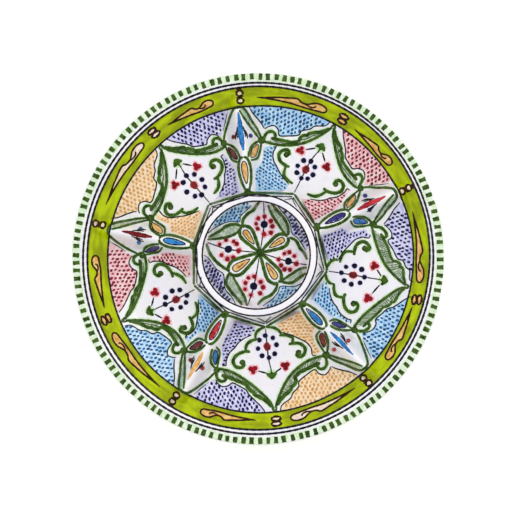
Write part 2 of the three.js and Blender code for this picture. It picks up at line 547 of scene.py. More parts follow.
class Coat:
    """One paint in one piece: strokes, dabs and filled shapes that follow the plate's surface."""

    def __init__(self, name, material, lift):
        self.name = name
        self.material = material
        self.lift = lift
        self.points = []
        self.lifts = []
        self.faces = []
        self.uvs = []
        self.count = 0

    def add(self, xy, lifts, uv, faces):
        self.points.append(xy)
        self.lifts.append(lifts)
        self.uvs.append(uv)
        self.faces += [[self.count + f for f in face] for face in faces]
        self.count += len(xy)
        self.lift += NEXT_LIFT

    def ribbon(self, line, closed=False, wobble=0.08, round_ends=True):
        """A brush stroke along line, whose points are (x, y, width)."""
        p = smooth_line(line, LINE_STEP, closed)
        width = np.maximum(p[:, 2], 0.1) / 2
        step = np.hypot(*(np.roll(p, -1, 0) - p)[:, :2].T)
        along = np.concatenate([[0], np.cumsum(step)[:-1]])
        if closed:
            tangent = np.roll(p, -1, 0) - np.roll(p, 1, 0)
        else:
            tangent = np.gradient(p, axis=0)
            if round_ends:
                for ahead in (along, along[-1] - along):
                    short = (1 - ahead / np.maximum(width, 0.01)).clip(0)
                    width = width * np.sqrt(np.clip(1 - short**2, 0.01, 1))
        phase = hand.random() * 40
        ripple = np.sin(along * 0.9 + phase) + np.sin(along * 2.3 + phase * 3)
        width = width * (1 + wobble * ripple)
        normal = np.stack([-tangent[:, 1], tangent[:, 0]], 1)
        normal /= np.maximum(np.linalg.norm(normal, axis=1, keepdims=True), 1e-9)
        middle = np.linspace(-0.88, 0.88, max(3, int(width.max() * 2.6)))
        across = np.array([-1, *middle, 1])
        rows = len(across)
        xy = p[:, None, :2] + normal[:, None] * (width[:, None] * across)[..., None]
        lifts = np.tile(np.where(np.abs(across) > 0.99, SUNK, self.lift), (len(p), 1))
        if not closed:
            lifts[[0, -1]] = SUNK
        uv = np.stack(np.broadcast_arrays(along[:, None] + phase * 5, across[None]), -1)
        faces = grid_faces(len(p), rows, False, flip=True)
        if closed:
            last = (len(p) - 1) * rows
            faces += [[j + 1, last + j + 1, last + j, j] for j in range(rows - 1)]
        self.add(xy.reshape(-1, 2), lifts.ravel(), uv.reshape(-1, 2), faces)

    def stroke(self, line, width, taper=0.35, closed=False, **more):
        """A stroke of even width whose ends taper to a share of it."""
        line = np.asarray(line, float)
        if closed:
            widths = np.full(len(line), width)
        else:
            share = np.linspace(0, 1, len(line))
            widths = width * (taper + (1 - taper) * np.sin(np.pi * share) ** 0.5)
        self.ribbon(np.column_stack([line, widths]), closed, **more)

    def dab(self, x, y, radius, stretch=1.0, turn=None):
        """One touch of the brush's tip, with a ragged edge."""
        count = max(10, int(radius * 7))
        turn = hand.random() * math.tau if turn is None else turn
        t = full_turn(count)
        edge = np.array([1 + 0.24 * (hand.random() - 0.5) for _ in range(count)])
        edge = (edge + np.roll(edge, 1) + np.roll(edge, -1)) / 3
        shares = np.append(np.linspace(0, 0.86, max(2, int(radius / 1.2) + 1))[1:], 1)
        reach = radius * shares[:, None] * edge
        spread = turned(reach * stretch * np.cos(t), reach / stretch * np.sin(t), turn)
        rings = np.stack(spread, -1) + (x, y)
        across = np.repeat(shares, count)
        along = hand.random() * 50
        faces = [[0, 1 + j, 1 + (j + 1) % count] for j in range(count)]
        faces += grid_faces(len(shares), count, True, 1, True)
        self.add(
            np.vstack([[x, y], rings.reshape(-1, 2)]),
            np.append(self.lift, np.where(across == 1, SUNK, self.lift)),
            np.vstack([[along, 0], np.column_stack([along + np.tile(t, len(shares)), across])]),
            faces,
        )

    def fill(self, outline, step=1.5, reach=1.2):
        """A filled shape. Across runs from 1 at its edge to 0 at reach mm inside it."""
        outline = np.asarray(outline, float)[:, :2]
        low, high = outline.min(0), outline.max(0)
        xs = np.arange(low[0], high[0], step)
        ys = np.arange(low[1], high[1], step * 0.866)
        gx, gy = np.meshgrid(xs, ys)
        gx = gx + (np.arange(len(ys)) % 2)[:, None] * step / 2
        inner = np.stack([gx.ravel(), gy.ravel()], 1)
        inner = inner[inside_outline(inner, outline)]
        inner = inner[distance_to_outline(inner, outline) > 0.45 * step]
        everything = np.concatenate([outline, inner])
        result = delaunay_2d_cdt([Vector(p) for p in everything], [], [list(range(len(outline)))], 1, 1e-4)
        xy = np.array([v[:] for v in result[0]])
        depth = distance_to_outline(xy, outline)
        lifts = np.where(depth < 0.01, SUNK, self.lift)
        uv = np.stack([xy[:, 0] + xy[:, 1], 1 - np.clip(depth / reach, 0, 1)], 1)
        self.add(xy, lifts, uv, [list(f) for f in result[2]])

    def build(self):
        xy = np.concatenate(self.points)
        lifts = np.concatenate(self.lifts)
        uvs = np.concatenate(self.uvs)
        x, y = xy.T
        normals = surface_normal(x, y)
        points = np.column_stack([x, y, relief(x, y)]) + normals * lifts[:, None]
        mesh = new_piece(self.name, points, self.faces, self.material).data
        layer = mesh.uv_layers.new(name="stroke")
        corners = np.empty(len(mesh.loops), int)
        mesh.loops.foreach_get("vertex_index", corners)
        layer.data.foreach_set("uv", uvs[corners].astype(np.float32).ravel())
        mesh.normals_split_custom_set_from_vertices(normals.tolist())


# ---------------------------------------------------------------- where a motif is painted


def ray(angle, points):
    """Motif points, clockwise and outward from the plate's centre along angle, as points on the plate."""
    p = np.array(points, float)
    x, y = p[:, 0].copy(), p[:, 1].copy()
    p[:, 0] = y * math.cos(angle) + x * math.sin(angle)
    p[:, 1] = y * math.sin(angle) - x * math.cos(angle)
    return p


def in_bowl(points):
    p = np.array(points, float)
    p[:, :2] += BOWL_CENTRE
    return p


def moved(points, shift):
    return np.array(points, float) + np.array(shift, float)


def direction(point):
    return math.atan2(point[1], point[0])


def oval(x, y, half_width, half_height, count=10):
    t = full_turn(count)
    return np.stack([x + half_width * np.cos(t), y + half_height * np.sin(t)], 1)


# How each star was painted: where it points, its tip, the point of the frame below it, where its heart and
# bud sit, the ring of dots round the bud, and the width of its leaves' outer line. Each pair after that is
# the right side, then the left: how much higher its leaf lies than the usual leaf and how much wider it is,
# and where its flower, scroll, lobe and lower outline sit.
STARS = [
    dict(turn=60.2, tip=157.5, apex=(-1, 76), heart=(-1, 131), bud=(-3, 103.5), ring=(9, 10), bold=3.7,
         rise=(2, 3), swell=(-1, -4), flowers=[(14, 116.5), (-17, 118)], scrolls=[(2, 1.5), (5, 7)],
         lobes=[(0, 1), (6, 4)], contours=[(1, 2.5), (2, 5)]),
    dict(turn=131.0, tip=154, apex=(-2, 75), heart=(2, 128.5), bud=(0, 100), ring=(10, 12.5), bold=4.1,
         rise=(-1, -1.5), swell=(-2, -3), flowers=[(15, 112.5), (-14, 113)],
         scrolls=[(-0.5, -3), (0.5, -1)], lobes=[(-1, -1.5), (2, -0.5)],
         contours=[(-1, -1), (-0.5, 0)]),
    dict(turn=204.6, tip=153, apex=(3, 71), heart=(-3, 123), bud=(-3, 94), ring=(9.5, 12), bold=3.9,
         rise=(-4, -3), swell=(-2.5, -3.5), flowers=[(12.5, 110.5), (-19, 112)],
         scrolls=[(-2, -7), (-1.5, -1.5)], lobes=[(-3, -4), (0, -3.5)],
         contours=[(-1.5, -2.5), (0, -3.5)]),
    dict(turn=276.2, tip=157, apex=(0, 70.5), heart=(-1, 119.5), bud=(0.5, 90.5), ring=(9.5, 11.5),
         bold=4.3, rise=(0, 0), swell=(-1.5, -1.5), flowers=[(17, 112.5), (-15, 112)],
         scrolls=[(-2.5, -0.5), (3, 0)], lobes=[(-2, 0), (1, 0)], contours=[(0, 0), (0, 0)]),
    dict(turn=349.4, tip=156.5, apex=(-1, 72), heart=(-2, 130.5), bud=(-1.5, 98.5), ring=(9.5, 12),
         bold=3.2, rise=(4, 7), swell=(2.5, 3.5), flowers=[(19, 118), (-15, 118.5)],
         scrolls=[(-2, 0), (1.5, 5.5)], lobes=[(0, -0.5), (2, 2.5)], contours=[(1, 0), (0, 3.5)]),
]
STAR_ANGLES = [math.radians(star["turn"]) for star in STARS]
CORNER = 54  # how far a star's corner is to each side in the motif before it is fitted
CORNER_TURN_RIGHT = 8.6  # degrees from a divider's axis to the corner beside it, on a star's right
CORNER_TURN_LEFT = 10.4  # and on its left
CORNER_RADIUS = 122.5
STRETCH_REACH = 20  # how far to each side of a star's axis the stretch takes to come in
USUAL_TIP = 155
CORNER_LIFTS = [(5, 1.5), (1, 0), (-4, -4), (-1, -0.5), (0, -1)]  # of each divider's left and right corners


def on_star(i, points):
    """Star motif points on the plate, with each side stretched so that its corner meets its divider."""
    p = np.array(points, float)
    angle = STAR_ANGLES[i]
    right = (angle - DIVIDER_ANGLES[i]) % math.tau - math.radians(CORNER_TURN_RIGHT)
    left = (DIVIDER_ANGLES[(i + 1) % 5] - angle) % math.tau - math.radians(CORNER_TURN_LEFT)
    share = np.clip(np.abs(p[:, 0]) / STRETCH_REACH, 0, 1)
    right_stretch = CORNER_RADIUS * math.sin(right) / CORNER
    left_stretch = CORNER_RADIUS * math.sin(left) / CORNER
    stretch = np.where(p[:, 0] > 0, right_stretch, left_stretch)
    p[:, 0] *= 1 + (stretch - 1) * share
    return ray(angle, p)


def on_leaf(i, side, points, swell):
    """Points of a star's leaf, fitted to the star's tip, to its corner and to how high and wide it lies."""
    p = np.array(points, float)
    star = STARS[i]
    reach = np.abs(p[:, 0]) / CORNER
    lift = CORNER_LIFTS[(i + side) % 5][side]
    p[:, 1] += (star["tip"] - USUAL_TIP) * np.clip(1 - 2.2 * reach, 0, 1)
    p[:, 1] += (star["rise"][side] + swell * star["swell"][side]) * np.sin(np.pi * np.clip(reach, 0, 1))
    p[:, 1] += lift * np.clip(2 * reach - 1, 0, 1)
    return on_star(i, p)


def on_divider(i, points):
    return ray(DIVIDER_ANGLES[i % 5], points)


# ---------------------------------------------------------------- paints

green_paint = paint_material("green_brushwork", (72, 106, 34), (20, 46, 0), 0.25)
navy_paint = paint_material("navy_dots", (10, 6, 56), (2, 0, 20), 0.1, 0.2)
outline_ink = paint_material("outline_ink", (40, 40, 46), (4, 5, 8), 0.1, 0.4)
brown_ink = paint_material("brown_ink", (66, 34, 6), (22, 9, 2), 0.2, 0.5)
red_paint = paint_material("red_flowers", (176, 12, 34), (108, 0, 12), 0.3, 0.3)
green_halo = halo_material("green_bleed", (198, 231, 176))
red_halo = halo_material("red_bleed", (246, 150, 160))
navy_halo = halo_material("navy_bleed", (206, 202, 240))

# For each ground: its wash where full and where faint, and its dabs where thin and where thick.
WASHES = {
    "pink": ((246, 176, 184), (253, 224, 226), (160, 46, 66), (96, 8, 28)),
    "blue": ((146, 202, 248), (206, 236, 254), (46, 104, 160), (12, 56, 112)),
    "violet": ((190, 188, 242), (230, 229, 254), (42, 36, 106), (8, 5, 48)),
    "peach": ((249, 212, 162), (255, 236, 208), (232, 178, 112), (204, 144, 74)),
}
grounds = {
    name: Coat(f"ground_{name}", wash_material(f"{name}_ground", full, faint), 0.05)
    for name, (full, faint, _, _) in WASHES.items()
}
dabs = {
    name: Coat(f"dabs_{name}", paint_material(f"{name}_dabs", thin, thick, 0.1, 0.4), 0.11)
    for name, (_, _, thin, thick) in WASHES.items()
}
fills = {
    name: Coat(f"{name}_fill", paint_material(f"{name}_fill", thin, thick, edge), 0.14)
    for name, thin, thick, edge in (
        ("crimson", (206, 60, 68), (132, 6, 18), 0.4),
        ("blue", (58, 146, 214), (6, 70, 144), 0.3),
        ("dark_red", (134, 36, 40), (78, 4, 12), 0.3),
        ("amber", (249, 206, 134), (214, 146, 62), 0.5),
        ("navy", (70, 68, 146), (22, 16, 84), 0.4),
    )
}
cream_fill = Coat("cream_fill", wash_material("cream_fill", (242, 210, 178), (252, 238, 226)),
                  0.12)

brushwork = Coat("green_brushwork", green_paint, 0.16)
rim_dashes = Coat("rim_dashes", green_paint, 0.16)
rim_wash = Coat("rim_wash", wash_material("rim_wash", (208, 234, 190), (238, 247, 230)), 0.06)
green_bleed = Coat("green_bleed", green_halo, 0.06)
leaf_shading = Coat(
    "leaf_shading", wash_material("leaf_shading", (138, 160, 128), (208, 220, 200), 0.5), 0.1
)
dark_lines = Coat("dark_outlines", outline_ink, 0.2)
stems = Coat("stems", outline_ink, 0.13)
navy_dots = Coat("navy_dots", navy_paint, 0.17)
red_dots = Coat("red_dots", red_paint, 0.17)
red_bleed = Coat("red_bleed", red_halo, 0.09)
navy_bleed = Coat("navy_bleed", navy_halo, 0.08)
band_ink = Coat("band_ink", brown_ink, 0.19)


STAR_BLEED = 1.9  # the pale green stain is wider beside the stars' leaves and scrolls


def green_stroke(line, width, taper=0.7, bleed=1.0):
    """A green stroke with its pale green bleed under it."""
    brushwork.stroke(line, width, taper)
    green_bleed.stroke(line, width + 2 * bleed, 0.7, wobble=0.05)


def flower_dab(coat, bleed, spot, radius, spread):
    coat.dab(*spot, radius)
    bleed.dab(*spot, radius + spread)


def closed_fill(coat, outline, reach=1.4):
    coat.fill(smooth_line(outline, LINE_STEP, True), 1.2, reach)


def outlined_fill(paint, outline, reach, width):
    closed_fill(fills[paint], outline, reach)
    dark_lines.stroke(outline, width, closed=True)


# How far apart the dabs of a ground are and how big: in the panels above and below a star's leaves, and in
# each paint of the bowl.
UPPER_DABS = (4.2, 1.55)
LOWER_DABS = (3.5, 1.3)
BOWL_DABS = {"violet": (3.5, 1.7), "blue": (3.4, 1.35)}


def dabbed_wash(name, outline, pitch, radius, lean, dab_turn):
    """A ground with dabs in rows that lean by an angle, each dab drawn out along dab_turn."""
    grounds[name].fill(outline, 1.5, 2)
    low, high = outline.min(0), outline.max(0)
    centre = (low + high) / 2
    rows = int((high[1] - low[1]) / pitch) + 4
    columns = int((high[0] - low[0]) / pitch) + 6
    i, j = np.meshgrid(np.arange(rows), np.arange(columns), indexing="ij")
    stray = np.array([[hand.uniform(-0.14, 0.14) for _ in range(2)] for _ in range(i.size)])
    x = (j + 0.5 * (i % 2) - columns / 2).ravel() * pitch * 1.1 + stray[:, 0] * pitch
    y = (i - rows / 2).ravel() * pitch * 0.9 + stray[:, 1] * pitch
    spots = centre + np.stack(turned(x, y, lean), 1)
    spots = spots[inside_outline(spots, outline)]
    spots = spots[distance_to_outline(spots, outline) > radius * 0.8]
    for spot in spots:
        turn = dab_turn + hand.uniform(-0.4, 0.4)
        dabs[name].dab(*spot, radius * hand.uniform(0.8, 1.2), hand.uniform(1.1, 1.35), turn)


# ---------------------------------------------------------------- the lip and the lime band

DASHES = 141
DASH_INNER = 181.7
DASH_MIDDLE = 185
DASH_OUTER = 189.3
RIM_WASH = 185.1
RIM_WASH_WIDTH = 8.8
RIM_LINE = 178.5
BAND_OUTER = 174.6
BAND_INNER = 156.5
BAND_MIDDLE = 165.5


def out_of_round(turn):
    return 0.65 * np.sin(2 * turn - 0.45)


def rim_line(turn):
    return RIM_LINE + 0.33 * np.sin(turn) + out_of_round(turn)


def band_outer(turn):
    return BAND_OUTER + 0.65 * np.sin(turn + 0.6) + out_of_round(turn) + 0.15 * np.sin(9 * turn)


def band_inner(turn):
    return BAND_INNER + 2.4 * np.cos(turn + 0.15) + out_of_round(turn) + 0.25 * np.sin(7 * turn)


def rim_wash_line(turn):
    return RIM_WASH + 0.4 * np.sin(11 * turn)


def ring_line(coat, radius_at, width, wobble=0.12):
    turn = full_turn(150)
    line = np.column_stack([polar(radius_at(turn), turn), np.full(len(turn), width)])
    coat.ribbon(line, True, wobble)


def paint_dashes():
    for i in range(DASHES):
        turn = math.tau * (i + hand.uniform(-0.1, 0.1)) / DASHES
        lean = hand.uniform(-0.3, 0.3)
        width = hand.uniform(3.9, 4.9)
        low = DASH_INNER + hand.uniform(-0.5, 0.6)
        radii = np.array([low, low + 0.8, DASH_MIDDLE, DASH_OUTER - 1.1, DASH_OUTER])
        turns = turn + lean * (radii - DASH_MIDDLE) / 3 / DASH_MIDDLE
        widths = width * np.array([0.75, 1, 1, 1, 0.8])
        rim_dashes.ribbon(np.column_stack([polar(radii, turns), widths]), round_ends=False)


def paint_lime():
    """The lime band, brushed round and round."""
    graph = Graph("lime_band", 0.2, 0.08)
    along, across = stroke_place(graph)
    brush = graph.node("CombineXYZ", X=graph.maths("MULTIPLY", along, 0.03), Y=across).outputs[0]
    streak = graph.span(graph.noise(1.8, 4, where=brush), 0.35, 0.65, 0, 0.45)
    cloud = graph.span(graph.noise(0.03, 3), 0.35, 0.65, 0, 0.5)
    pooled = graph.span(graph.maths("ABSOLUTE", across), 0.72, 1, 0, 0.5)
    share = graph.maths("SUBTRACT", graph.maths("ADD", streak, cloud), pooled)
    graph.bump(graph.noise(0.5, 3), 0.04, 0.6)
    material = graph.finish(graph.mix(graph.span(share, 0, 1), colour(146, 160, 0), colour(194, 214, 0)))
    lime = Coat("lime_band", material, 0.1)
    rows, around = 18, 960
    turn = full_turn(around)
    share = np.linspace(0, 1, rows)[:, None]
    radius = band_inner(turn) * (1 - share) + band_outer(turn) * share
    xy = polar(radius, turn).reshape(-1, 2)
    lifts = np.full(len(xy), lime.lift)
    lifts[:around] = lifts[-around:] = SUNK
    uv = np.stack(np.broadcast_arrays(turn * BAND_OUTER, 2 * share - 1), -1).reshape(-1, 2)
    lime.add(xy, lifts, uv, grid_faces(rows, around, True, flip=True))
    lime.build()


SCROLL_LENGTH = 70  # of a scroll's outline, before it is stretched to fit
# For each star and each divider: how far anticlockwise of it its scroll's head is, and how far clockwise
# of it its knot is.
STAR_HEADS = (15, 12, 8, 16, 7)
DIVIDER_HEADS = (28, 25, 29, 26, 22)
STAR_KNOTS = (4, 4, 8, 0, 11.5)
DIVIDER_KNOTS = (2, 3, 3, 4, 9)


def on_band(head_turn, points):
    """Points of a scroll in the lime band: mm anticlockwise of its head, and mm outward of its middle."""
    p = np.array(points, float)
    return polar(BAND_MIDDLE + p[:, 1], head_turn + p[:, 0] / BAND_MIDDLE)


def paint_band_scroll(head_turn, filling, length):
    """A curling leaf whose head points clockwise and whose tail trails off anticlockwise."""

    def put(points):
        return on_band(head_turn, np.array(points) * (length / SCROLL_LENGTH, 1))

    top = [(61, -1.2), (50, 0.2), (40, 1.2), (30, 2.4), (25.5, 0.2), (20, -0.4), (15.5, 1.6), (12, 3.4),
           (6, 4.1), (1, 2.8)]
    low = [(-0.6, 0.4), (1.5, -2.2), (8, -3.2), (20, -4.2), (35, -3.4), (48, -2.6)]
    curl = [(21, -0.6), (17, -1.7), (13, -1.5), (10.5, 0.2), (12, 1.4)]
    tail = [(70, -0.6), (61, -1.2), (52, -1.0)]
    outline = put(top + low)
    closed_fill(filling, outline, 2.5)
    band_ink.stroke(outline, 2.0, closed=True)
    band_ink.stroke(put(curl), 1.9, 0.6)
    band_ink.stroke(put(tail), 2.3, 0.25)


def paint_knot(angle, x, spots, half_width, half_height, filling):
    """Two small loops, one above the other."""
    for y in spots:
        loop = ray(angle, oval(x + hand.uniform(-0.6, 0.6), y, half_width, half_height))
        closed_fill(filling, loop)
        band_ink.stroke(loop, 2.4, closed=True, wobble=0.2)


def paint_band():
    for i in range(5):
        star_turn, divider_turn = STAR_ANGLES[i], DIVIDER_ANGLES[i]
        filling = cream_fill if i % 2 else fills["amber"]
        head = star_turn + STAR_HEADS[i] / BAND_MIDDLE
        room = (DIVIDER_ANGLES[(i + 1) % 5] - head) % math.tau * BAND_MIDDLE
        paint_band_scroll(head, filling, min(1.05 * SCROLL_LENGTH, room - 8))
        head = divider_turn + DIVIDER_HEADS[i] / BAND_MIDDLE
        room = (star_turn - head) % math.tau * BAND_MIDDLE
        paint_band_scroll(head, fills["amber"], room - 19)
        x = DIVIDER_KNOTS[i]
        band_ink.stroke(ray(divider_turn, [(x - 3, 174.3), (x, 173.2), (x + 3.5, 174.2)]), 2.8)
        paint_knot(divider_turn, x, (162, 169.5), 3.3, 2.8, cream_fill)
        band_ink.stroke(ray(divider_turn, [(x - 4, 165.2), (x, 166), (x + 4.4, 166.4)]), 2)
        paint_knot(star_turn, STAR_KNOTS[i], (164.2, 169.2), 4.8, 2.2, filling)


ring_line(dark_lines, rim_line, 2.2)
ring_line(dark_lines, band_outer, 2.1)
ring_line(dark_lines, band_inner, 1.9)
paint_dashes()
ring_line(rim_wash, rim_wash_line, RIM_WASH_WIDTH, 0.08)
paint_lime()
paint_band()


# ---------------------------------------------------------------- star panels

HATCHED_STARS = (3, 4)  # their leaves are hatched, and they have scrolls down to the frame
# Each pair is the right side, then the left.

LEAF_INNER = [
    [(0.5, 153), (4, 145), (10, 137.5), (19.5, 127.6), (29, 119.3), (38.7, 112.6), (48, 109.2),
     (53.5, 108.5)],
    [(-1, 152), (-5, 143), (-11.5, 131.5), (-19, 121.7), (-28.3, 114.5), (-37.7, 109.7), (-47, 107.6),
     (-54, 107)],
]
LEAF_LOBES = [
    [[(2, 151), (8, 144.5), (14, 141), (18, 138.5), (18.5, 134)],
     [(17.5, 137), (21.5, 134.5), (24.5, 130), (24.5, 126.5)],
     [(23.5, 129.5), (31, 125), (39, 120.5), (46, 117), (49, 116)]],
    [[(-2.5, 150), (-9, 143.5), (-16, 139), (-18.5, 136), (-18, 132.5)],
     [(-17.5, 136), (-22, 133), (-23.5, 129), (-22.5, 125.5)],
     [(-21.5, 127.5), (-28, 122), (-37, 118.5), (-46, 115), (-49, 114)]],
]
LEAF_CURL = [
    [(45.5, 115.5), (44, 119), (46.5, 122), (50, 121.8), (53, 118.5), (53.5, 113), (53.5, 108.5)],
    [(-47, 113.5), (-45.5, 117.5), (-48, 120.3), (-52, 119.8), (-54.8, 116), (-54.8, 111), (-54.5, 107)],
]
LEAF_CONTOUR = [
    [(9, 157), (13, 150.5), (20, 142.5), (23.5, 138.5), (26, 133.5), (32, 129), (38.5, 125), (43, 127.3),
     (49, 127.3), (53, 123.5), (55, 119)],
    [(-5.5, 156.5), (-8, 150.5), (-16.5, 146), (-19.5, 141), (-25.5, 136), (-26.5, 130.5), (-35, 124.5),
     (-42.5, 120.5), (-46.5, 125), (-52, 126.5), (-56.5, 122.5), (-58.5, 118.5)],
]
SCROLL = [
    [(29, 104.5), (27.5, 106.5), (31, 109.5), (36.5, 107.5), (38, 101.5), (33.5, 96), (25, 93.5),
     (20, 94.8)],
    [(-32, 100), (-30, 102), (-33, 104.8), (-37.5, 101.5), (-38.5, 96), (-34, 91), (-27, 90), (-23, 90.8)],
]
LOBE = [
    [(24, 93), (22.5, 86.5), (17.5, 82.8), (10, 81.5)],
    [(-27, 90), (-25.5, 84), (-19.5, 80.8), (-13, 80.5)],
]
FOOT_LOBE = [
    [(11.5, 81.5), (10.5, 76), (6, 72), (0, 70.5)],
    [(-14.5, 80.5), (-13, 76), (-8, 72), (0, 70.5)],
]
LOWER_CONTOUR = [
    [(47, 105), (43, 105), (42.5, 101), (38.5, 93), (32.5, 88), (28.5, 83.5), (22, 79.5), (14.5, 77)],
    [(-46, 105), (-42, 104), (-41.5, 97), (-37.5, 90.5), (-31, 86), (-25, 82), (-18.5, 79), (-12, 76.5)],
]


def lower_contour(i, side):
    return on_star(i, moved(LOWER_CONTOUR[side], STARS[i]["contours"][side]))


def paint_star_leaf(i, side):
    """Two green lines with a pale gap, which is hatched across or has one streak along it."""
    inner = on_leaf(i, side, LEAF_INNER[side], 0)
    lobes = [on_leaf(i, side, lobe, 1) for lobe in LEAF_LOBES[side]]
    outer = np.concatenate([lobe[:-1] for lobe in lobes])
    edges = smooth_line(inner, 2), smooth_line(outer, 2)
    leaf_shading.fill(np.concatenate([edges[1], edges[0][::-1]]), 1.5, 2)
    green_stroke(inner, 3.2, 0.8, STAR_BLEED)
    for lobe in lobes:
        green_stroke(lobe, STARS[i]["bold"], 0.8, STAR_BLEED)
    green_stroke(on_leaf(i, side, LEAF_CURL[side], 1), 3.4, 0.75, STAR_BLEED)
    low, high = [edge[np.linspace(0, len(edge) - 1, 30).astype(int)] for edge in edges]
    if i in HATCHED_STARS:
        for a, b in zip(low[3:-2], high[4:-1]):
            brushwork.stroke([a, (a + b) / 2, b], hand.uniform(0.5, 1.0), 0.4)
    else:
        brushwork.stroke((low + high)[5:28] / 2, 1.2, 0.3)
    dark_lines.stroke(on_leaf(i, side, LEAF_CONTOUR[side], 0.8), 1.5, 0.7)


def paint_star_flower(i):
    """A heart on a stem, two red side flowers, and a red bud ringed with navy dots."""
    star = STARS[i]
    x, y = star["heart"]
    heart = [(0, 5.4), (-3.4, 3), (-6, -0.6), (-5, -2.8), (-1.8, -2.6), (-0.8, -6), (1, -6), (1.9, -2.6),
             (5.2, -2.8), (6, -0.4), (3.4, 3.2)]
    closed_fill(brushwork, on_star(i, moved(heart, (x, y))), 1.5)
    closed_fill(green_bleed, on_star(i, oval(x, y - 0.2, 6.6, 6.4)), 4.5)
    bud_x, bud_y = star["bud"]
    low = star["apex"][1]
    stems.stroke(on_star(i, [(x, y - 4), (bud_x, bud_y + 12), (bud_x, bud_y), (bud_x / 2, low + 1)]), 1.5,
                 0.7)
    for tip_x, tip_y in star["flowers"]:
        way = np.array([tip_x - x, tip_y - y])
        stems.stroke(on_star(i, [(x, y) + way * s for s in (0.25, 0.5, 0.76)]), 1.9, 0.6)
        for k in range(3):
            spin = math.pi / 2 + k * math.tau / 3
            spot = on_star(i, [(tip_x + 2.3 * math.cos(spin), tip_y + 2.3 * math.sin(spin))])[0]
            flower_dab(red_dots, red_bleed, spot, hand.uniform(2.3, 2.9), 2.1)
    closed_fill(fills["dark_red"], on_star(i, oval(bud_x, bud_y, 4.4, 5.2, 8)), 1.5)
    red_bleed.dab(*on_star(i, [(bud_x, bud_y)])[0], 5.6)
    across, tall = star["ring"]
    for k in range(8):
        spin = math.pi / 2 + k * math.tau / 8 + hand.uniform(-0.1, 0.1)
        spot = on_star(i, [(bud_x + across * math.cos(spin), bud_y + tall * math.sin(spin))])[0]
        flower_dab(navy_dots, navy_bleed, spot, hand.uniform(2.5, 3.1), 1.3)


def paint_star(i):
    """The two leaves of a star, its scrolls and its flower."""
    for side in (0, 1):
        paint_star_leaf(i, side)
        scroll = on_star(i, moved(SCROLL[side], STARS[i]["scrolls"][side]))
        green_stroke(scroll, 3.8, 0.7, STAR_BLEED)
        brushwork.dab(*scroll[0], 3.2)
        lobe = on_star(i, moved(LOBE[side], STARS[i]["lobes"][side]))
        lobe[0] = scroll[-2]
        green_stroke(lobe, 3.6, 0.6, STAR_BLEED)
        if i in HATCHED_STARS:
            green_stroke(on_star(i, FOOT_LOBE[side]), 3.2, 0.5, STAR_BLEED)
        dark_lines.stroke(lower_contour(i, side), 1.5, 0.6)
    brushwork.stroke(on_leaf(i, 0, [(-3, 151), (0, 154.5), (3, 151)], 0), 3.0)
    paint_star_flower(i)


# ---------------------------------------------------------------- dividers

UPPER_RIGHT = [(24, 131), (22, 136), (18.5, 142), (14.5, 148), (11, 156)]
UPPER_LEFT = [(-20.5, 130), (-17.5, 137), (-14, 146), (-12, 156)]
LOWER_LEFT = [(-9.5, 68.5), (-10.5, 80), (-11, 92), (-14.5, 101), (-18, 107), (-21.5, 115)]
LOWER_RIGHT = [(6, 68.5), (8, 80), (8, 90.5), (11, 92.5), (16, 97), (18.5, 104), (20, 112)]

# How each divider was painted: its bud's paint, top, foot, width and place across; its two dots; its two
# side leaves' paints and how far they are shifted outward; its petal's paint and shift.
DIVIDER_STYLES = [
    dict(bud=("crimson", 145, 112, 5.6, -1), dots=[("navy", -10.3, 126.5), ("navy", 4.6, 124)],
         flanks=("amber", "blue"), flank_shift=1.5, petal=("navy", -2.5, 0)),
    dict(bud=("blue", 151, 111, 6.2, -0.5), dots=[("dark_red", -8.5, 126.5), ("navy", 9, 125.5)],
         flanks=("dark_red", "amber"), flank_shift=0.5, petal=("amber", -1.5, 0.5)),
    dict(bud=("dark_red", 142, 110, 5.4, 1), dots=[("blue", -7, 122.5), ("blue", 7, 124)],
         flanks=("navy", "amber"), flank_shift=-1.5, petal=("blue", 0.5, -1.5)),
    dict(bud=("amber", 143, 110, 5.0, 1.8), dots=[("crimson", -5.5, 125), ("dark_red", 9, 124)],
         flanks=("blue", "dark_red"), flank_shift=-0.5, petal=("crimson", 2, -4)),
    dict(bud=("blue", 138, 104, 4.6, -0.5), dots=[("crimson", -7, 124), ("crimson", 9.5, 120.5)],
         flanks=("navy", "dark_red"), flank_shift=-3.5, petal=("blue", 0.5, -6.5)),
]
FRAME_FOOT = 68  # how far out the frame's lines meet a divider, before half its petal's shift is added
# Each side's leaf beside the bud is its inner edge, its outer edge and the drop of paint inside it.
FLANKS = [
    ([(-19, 121), (-11, 117), (-6.5, 110), (-4.5, 103)],
     [(-18.5, 119), (-15.5, 110), (-12.5, 103), (-6.5, 99.5)],
     [(-15.5, 116.5), (-10.5, 113), (-7.5, 106.5), (-7.5, 103), (-11, 104.5), (-14, 110.5)]),
    ([(18.5, 120.5), (10, 115.5), (5.5, 108.5), (3.5, 103)],
     [(19, 118), (16.5, 109), (12.5, 101.5), (5.5, 100)],
     [(15.5, 115.5), (9.5, 112.5), (6.5, 106), (7, 102.8), (11, 103.8), (14.2, 109.5)]),
]


